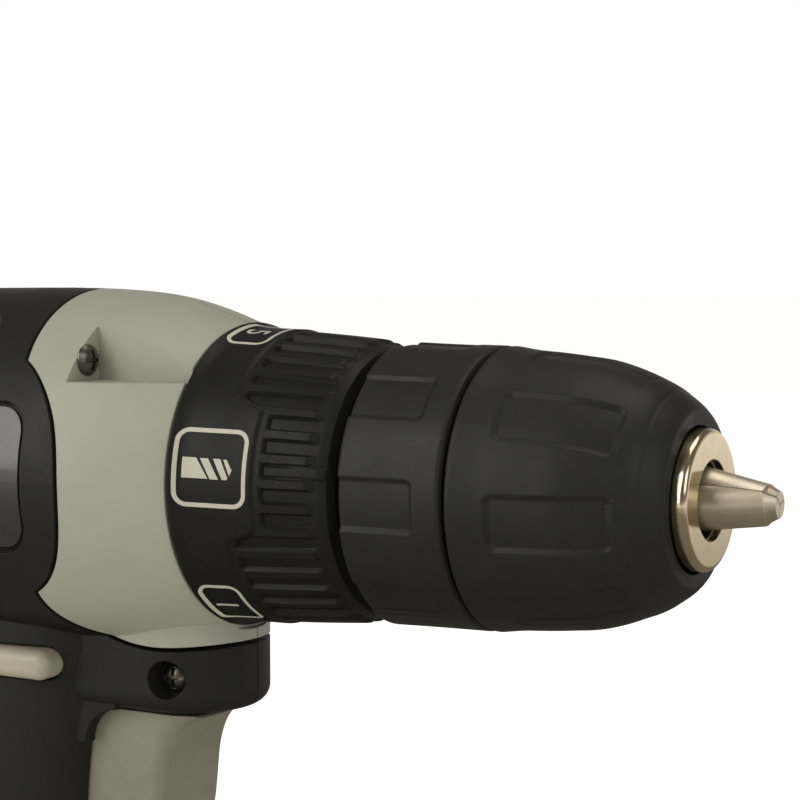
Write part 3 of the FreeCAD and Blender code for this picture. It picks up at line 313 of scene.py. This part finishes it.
def add(name, mesh, finish, body):
    """A piece that rides on a body, smooth but for edges sharper than the angle given."""
    piece = bpy.data.objects.new(name, mesh)
    bpy.context.scene.collection.objects.link(piece)
    for face in mesh.polygons:
        face.use_smooth = True
    mesh.set_sharp_from_angle(angle=math.radians(SHARP_EDGE))
    mesh.materials.append(FINISH[finish])
    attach(piece, body)
    return piece


def fair(points, step):
    """The outline smoothed through its points by a monotone curve of radius over station."""
    s = np.array([p[0] for p in points])
    r = np.array([p[1] for p in points])
    slopes = np.gradient(r, s)
    fine = np.linspace(s[0], s[-1], int((s[-1] - s[0]) / step) + 2)
    k = np.clip(np.searchsorted(s, fine, side="right") - 1, 0, len(s) - 2)
    width = s[k + 1] - s[k]
    t = (fine - s[k]) / width
    radius = ((2 * t**3 - 3 * t**2 + 1) * r[k] + (t**3 - 2 * t**2 + t) * width * slopes[k]
              + (3 * t**2 - 2 * t**3) * r[k + 1] + (t**3 - t**2) * width * slopes[k + 1])
    return list(zip(fine.tolist(), radius.tolist()))


PAD_PITCH = 45.0
FRONT_PAD_TURN = -7.5
REAR_PAD_TURN = -2.8
FRONT_PAD_DEPTH = 0.55
REAR_PAD_DEPTH = 0.5
LIP_LINE_DEPTH = 0.12
FRONT_SLEEVE = [(12.6, 13.3), (13.4, 14.1), (14.6, 15.0), (16.2, 16.1), (19.0, 17.45), (22.0, 18.6),
                (26.0, 19.7), (30.0, 20.2), (34.0, 20.6), (38.0, 20.9), (41.6, 21.4)]
REAR_SLEEVE = [(43.5, 21.45), (47.0, 21.5), (53.0, 21.6), (59.0, 21.75)]
COLLAR = [(61.9, 21.95), (64.6, 22.3), (68.0, 22.6), (72.0, 22.9), (79.0, 23.3), (83.0, 23.4), (86.8, 23.9),
          (87.4, 24.2)]


def front_pads(stations, turns, radii):
    """Eight recessed finger pads round the front sleeve, and a shallow line behind the lip."""
    across = np.radians(nearest(turns, FRONT_PAD_TURN, PAD_PITCH)) * radii
    distance = rounded_box(stations - 27.3, across, 9.1, 4.35, 1.6)
    pads = FRONT_PAD_DEPTH * recess(distance, 0.9)
    line = LIP_LINE_DEPTH * np.exp(-((stations - 15.4) / 0.22) ** 2)
    return pads + line


def rear_pads(stations, turns, radii):
    """Eight pads on the rear sleeve, open towards its rear edge."""
    across = np.radians(nearest(turns, REAR_PAD_TURN, PAD_PITCH)) * radii
    distance = rounded_box(stations - 57.0, across, 9.9, 4.15, 1.4)
    return REAR_PAD_DEPTH * recess(distance, 0.8)


def make_sleeves():
    """Both chuck sleeves with their pads, in place of the plain ones."""
    outer = [(12.3, 10.75), (12.3, 12.7), (12.37, 13.0)] + fair(FRONT_SLEEVE, 0.25)
    outer += [(42.0, 21.25), (42.25, 20.75)]
    inner = [(42.25, 18.2), (30.75, 18.2), (28.25, 17.4), (17.3, 12.5), (15.5, 10.75)]
    mesh = turned_mesh("chuck_front_grip", outer, inner, front_pads)
    piece = add("chuck_front_grip", mesh, "sleeve_black", "chuck_sleeve")
    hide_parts("chuck_front_sleeve")
    outer = [(42.8, 17.0), (42.8, 20.75), (43.05, 21.25)] + fair(REAR_SLEEVE, 0.25)
    outer += [(59.4, 21.6), (59.6, 21.2)]
    inner = [(59.6, 17.8), (57.5, 17.8), (57.5, 17.0)]
    mesh = turned_mesh("chuck_rear_grip", outer, inner, rear_pads)
    piece = add("chuck_rear_grip", mesh, "sleeve_black", "spindle")
    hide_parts("chuck_rear_sleeve")


# ---------------------------------------------------------------- torque collar

FLUTES = 38
FLUTE_PITCH = 360.0 / FLUTES
FLUTE_DEPTH = 0.7
BAND_STEP = 0.3
BAND_FRONT = 79.0
BAND_SHIFT = 5.2
POINTER_RISE = 0.4
MARK_TURN = 8.0
NUMBER_TURN = -54.0
NUMBER_PITCH = -57.0
COLLAR_FAIR = fair(COLLAR, 0.2)


def collar_radius(station):
    """Radius of the collar's outline, without its relief."""
    return float(np.interp(station, [p[0] for p in COLLAR_FAIR], [p[1] for p in COLLAR_FAIR]))


def collar_relief(stations, turns, radii):
    """Ribs between flutes that open into the skirt; the marked band steps forward round the drill mark."""
    from_mark = np.abs(nearest(turns, MARK_TURN, 360.0))
    band = BAND_FRONT - BAND_SHIFT * smooth((29.5 - from_mark) / 7.0)
    across = np.abs(np.radians(nearest(turns, MARK_TURN, FLUTE_PITCH)) * radii)
    rear = band - 1.4
    step = BAND_STEP * smooth((band - stations) / 0.45)
    flute = FLUTE_DEPTH * smooth((1.25 - across) / 0.35) * smooth((rear - stations) / 0.35)
    skirt = FLUTE_DEPTH * smooth((64.9 - stations) / 1.5) + 0.45 * smooth((63.4 - stations) / 2.2)
    length = smooth((stations - 61.9) / 0.3) * smooth((rear - 0.5 - stations) / 0.2)
    pointer = smooth((0.9 - across) / 0.15) * length * (from_mark < FLUTE_PITCH / 2)
    return step + np.maximum(flute, skirt) - POINTER_RISE * pointer


def make_collar():
    """The torque collar with its ribs, in place of the plain one."""
    outer = [(61.3, 13.6), (61.3, 20.4), (61.6, 20.9)] + COLLAR_FAIR + [(87.7, 24.28), (87.9, 24.0)]
    inner = [(87.9, 20.6), (81.9, 20.4), (63.5, 19.4), (63.5, 13.6)]
    mesh = turned_mesh("torque_collar_grip", outer, inner, collar_relief, turns=608)
    piece = add("torque_collar_grip", mesh, "collar_black", "torque_collar")
    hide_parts("torque_collar")


CORNER_STEPS = 8


def outline(half_u, half_v, corner):
    """Points round a rounded rectangle."""
    found = []
    for cu, cv, start in ((1, 1, 0), (-1, 1, 90), (-1, -1, 180), (1, -1, 270)):
        for k in range(CORNER_STEPS + 1):
            angle = math.radians(start + 90 * k / CORNER_STEPS)
            found.append((cu * (half_u - corner) + corner * math.cos(angle),
                          cv * (half_v - corner) + corner * math.sin(angle)))
    return found


PRINT_REACH = 7.0
PRINT_CELL = 0.7
PRINT_PROUD = 0.04
PRINT_SUNK = 0.1


def printed(flat, station, turn):
    """Lays a flat mesh, u forward and v upward in mm, on the collar as a thin raised layer."""
    for axis in ((1, 0, 0), (0, 1, 0)):
        for k in range(int(2 * PRINT_REACH / PRINT_CELL) + 1):
            geometry = flat.verts[:] + flat.edges[:] + flat.faces[:]
            at = Vector(axis) * (PRINT_CELL * k - PRINT_REACH)
            bmesh.ops.bisect_plane(flat, geom=geometry, plane_co=at, plane_no=axis, dist=1e-5)
    bmesh.ops.triangulate(flat, faces=flat.faces[:])
    made = bmesh.ops.extrude_face_region(flat, geom=flat.faces[:])["geom"]
    raised = {part for part in made if isinstance(part, bmesh.types.BMVert)}
    for vertex in flat.verts:
        s = station - vertex.co.x
        radius = collar_radius(s) + (PRINT_PROUD if vertex in raised else -PRINT_SUNK)
        vertex.co = around(s, radius, turn + math.degrees(vertex.co.y / collar_radius(station)))
    bmesh.ops.recalc_face_normals(flat, faces=flat.faces[:])
    return flat


def polygon(points):
    """Flat mesh of one face."""
    flat = bmesh.new()
    flat.faces.new([flat.verts.new((u, v, 0)) for u, v in points])
    return flat


def frame_outline(half_u, half_v, corner, width):
    """A rounded rectangular line of the given width."""
    flat = bmesh.new()
    outside = [flat.verts.new((u, v, 0)) for u, v in outline(half_u, half_v, corner)]
    inside = [flat.verts.new((u, v, 0)) for u, v in outline(half_u - width, half_v - width, corner - width)]
    for k in range(len(outside)):
        n = (k + 1) % len(outside)
        flat.faces.new([outside[k], outside[n], inside[n], inside[k]])
    bmesh.ops.remove_doubles(flat, verts=flat.verts[:], dist=1e-4)
    return flat


def digit(number, height):
    """Flat mesh of a numeral whose top points forward."""
    curve = bpy.data.curves.new("digit", "FONT")
    curve.body = str(number)
    curve.align_x, curve.align_y = "CENTER", "CENTER"
    text = bpy.data.objects.new("digit", curve)
    bpy.context.scene.collection.objects.link(text)
    bpy.context.view_layer.update()
    mesh = bpy.data.meshes.new_from_object(text.evaluated_get(bpy.context.evaluated_depsgraph_get()))
    bpy.data.objects.remove(text)
    flat = bmesh.new()
    flat.from_mesh(mesh)
    bmesh.ops.remove_doubles(flat, verts=flat.verts[:], dist=1e-5)
    low, high = min(v.co.y for v in flat.verts), max(v.co.y for v in flat.verts)
    left, right = min(v.co.x for v in flat.verts), max(v.co.x for v in flat.verts)
    scale = height / (high - low)
    for v in flat.verts:
        v.co = ((v.co.y - (low + high) / 2) * scale, -(v.co.x - (left + right) / 2) * scale, 0)
    return flat


# Outlines of the pictogram's shank, two flutes and tip, in mm forward and upward of its middle.
DRILL_BIT = [
    [(-4.4, 1.55), (-2.0, 1.55), (0.25, -1.55), (-4.4, -1.55)],
    [(-1.35, 1.5), (0.1, 1.5), (2.15, -1.6), (0.65, -1.6)],
    [(1.0, 1.5), (2.3, 1.5), (3.75, -1.3), (3.55, -1.6), (2.8, -1.6)],
    [(2.8, 1.45), (3.4, 1.45), (4.4, -0.1), (4.0, -0.95)],
]


def make_marks():
    """Printed marks of the collar: a drill-bit pictogram and the torque numbers, each in a frame."""
    laid = [printed(frame_outline(6.35, 6.0, 2.2, 0.68), 80.75, MARK_TURN)]
    for part in DRILL_BIT:
        corners = [(u + 0.5, v - 0.1) for u, v in reversed(part)]
        laid.append(printed(polygon(corners), 81.7, MARK_TURN))
    for number in range(1, 6):
        turn = NUMBER_TURN + NUMBER_PITCH * (number - 1)
        laid.append(printed(frame_outline(3.75, 5.3, 1.8, 0.6), 83.35, turn))
        laid.append(printed(digit(number, 3.9), 83.9, turn))
    whole = bmesh.new()
    for part in laid:
        mesh = bpy.data.meshes.new("part")
        part.to_mesh(mesh)
        whole.from_mesh(mesh)
    mesh = bpy.data.meshes.new("collar_marks")
    whole.to_mesh(mesh)
    add("collar_marks", mesh, "mark_cream", "torque_collar")


# ---------------------------------------------------------------- stage, light and camera

def make_stage():
    """Pale paper floor that looks white, and darker near the object to glossy rays."""
    floor = bmesh.new()
    bmesh.ops.create_circle(floor, cap_ends=True, segments=96, radius=12.0)
    mesh = bpy.data.meshes.new("floor")
    floor.to_mesh(mesh)
    floor.free()
    plane = bpy.data.objects.new("floor", mesh)
    bpy.context.scene.collection.objects.link(plane)
    shade = Shader("floor_paper", (242, 241, 238), 0.8, specular=0.1)
    shade.mottle(300.0, 0.1, 1.02, 0.97)
    path = shade.node("ShaderNodeLightPath")
    length = shade.node("ShaderNodeVectorMath", operation="LENGTH")
    shade.link(shade.place, length.inputs[0])
    near = shade.steps(length.outputs["Value"], 2.2, 0.7)
    product = shade.node("ShaderNodeMath", operation="MULTIPLY")
    shade.link(path.outputs["Is Glossy Ray"], product.inputs[0])
    shade.link(near, product.inputs[1])
    shade.mix_colour(product.outputs[0], linear(100, 96, 88))
    lift = shade.steps(path.outputs["Is Camera Ray"], 0.0, 1.0, 0.0, 0.16)
    shade.bsdf.inputs["Emission Color"].default_value = (1, 1, 1, 1)
    shade.link(lift, shade.bsdf.inputs["Emission Strength"])
    mesh.materials.append(shade.material)


def make_world():
    """White to the eye and to matt surfaces; to gloss a dim warm room with a bright wall behind."""
    world = bpy.data.worlds.new("studio")
    bpy.context.scene.world = world
    world.use_nodes = True
    nodes, links = world.node_tree.nodes, world.node_tree.links
    back = nodes["Background"]
    direction = nodes.new("ShaderNodeTexCoord")
    split = nodes.new("ShaderNodeSeparateXYZ")
    links.new(direction.outputs["Generated"], split.inputs[0])
    height = nodes.new("ShaderNodeMapRange")
    height.inputs["From Min"].default_value = 0.45
    height.inputs["From Max"].default_value = 0.05
    links.new(split.outputs["Z"], height.inputs["Value"])
    behind = nodes.new("ShaderNodeMapRange")
    behind.inputs["From Min"].default_value = 0.2
    behind.inputs["From Max"].default_value = 0.7
    links.new(split.outputs["Y"], behind.inputs["Value"])
    wall = nodes.new("ShaderNodeMath")
    wall.operation = "MULTIPLY"
    links.new(height.outputs[0], wall.inputs[0])
    links.new(behind.outputs[0], wall.inputs[1])
    room = nodes.new("ShaderNodeMix")
    room.data_type = "RGBA"
    room.inputs["A"].default_value = (0.11, 0.1, 0.085, 1)
    room.inputs["B"].default_value = (0.85, 0.82, 0.76, 1)
    links.new(wall.outputs[0], room.inputs["Factor"])
    path = nodes.new("ShaderNodeLightPath")
    seen = nodes.new("ShaderNodeMix")
    seen.data_type = "RGBA"
    seen.inputs["A"].default_value = (1, 1, 1, 1)
    links.new(path.outputs["Is Glossy Ray"], seen.inputs["Factor"])
    links.new(room.outputs["Result"], seen.inputs["B"])
    links.new(seen.outputs["Result"], back.inputs["Color"])


def softbox(name, direction, distance, width, height, power, colour=(1, 1, 1)):
    """Rectangular lamp in the given direction from the object, facing it."""
    light = bpy.data.lights.new(name, "AREA")
    light.shape = "RECTANGLE"
    light.size = width
    light.size_y = height
    light.energy = power
    light.color = colour
    lamp = bpy.data.objects.new(name, light)
    centre = Vector((0.03, 0, 0.15))
    toward = Vector(direction).normalized()
    lamp.location = centre + toward * distance
    lamp.rotation_mode = "QUATERNION"
    lamp.rotation_quaternion = toward.to_track_quat("Z", "Y")
    bpy.context.scene.collection.objects.link(lamp)


def make_lights():
    softbox("key_softbox", (-0.49, -0.79, 0.42), 1.3, 0.7, 1.1, 9.0, (1, 0.99, 0.95))
    softbox("fill_softbox", (0.9, -0.5, 0.5), 1.6, 0.8, 0.8, 4.0)
    softbox("top_softbox", (0.1, 0.2, 1.0), 1.5, 0.9, 0.9, 5.0, (1, 0.98, 0.94))


def make_camera():
    data = bpy.data.cameras.new("camera")
    data.lens = 93.65
    data.sensor_width = 36.0
    camera = bpy.data.objects.new("camera", data)
    camera.location = (0.22213, -0.27835, 0.21205)
    look = Vector((0.0649, 0.0, 0.1907)) - camera.location
    camera.rotation_mode = "QUATERNION"
    camera.rotation_quaternion = look.to_track_quat("-Z", "Y")
    data.clip_start = 0.01
    data.clip_end = 50.0
    bpy.context.scene.collection.objects.link(camera)
    bpy.context.scene.camera = camera


make_camera()
make_world()
make_lights()
make_stage()
bpy.context.scene.view_settings.view_transform = "Standard"
finish_nodes()
make_sleeves()
make_collar()
make_marks()
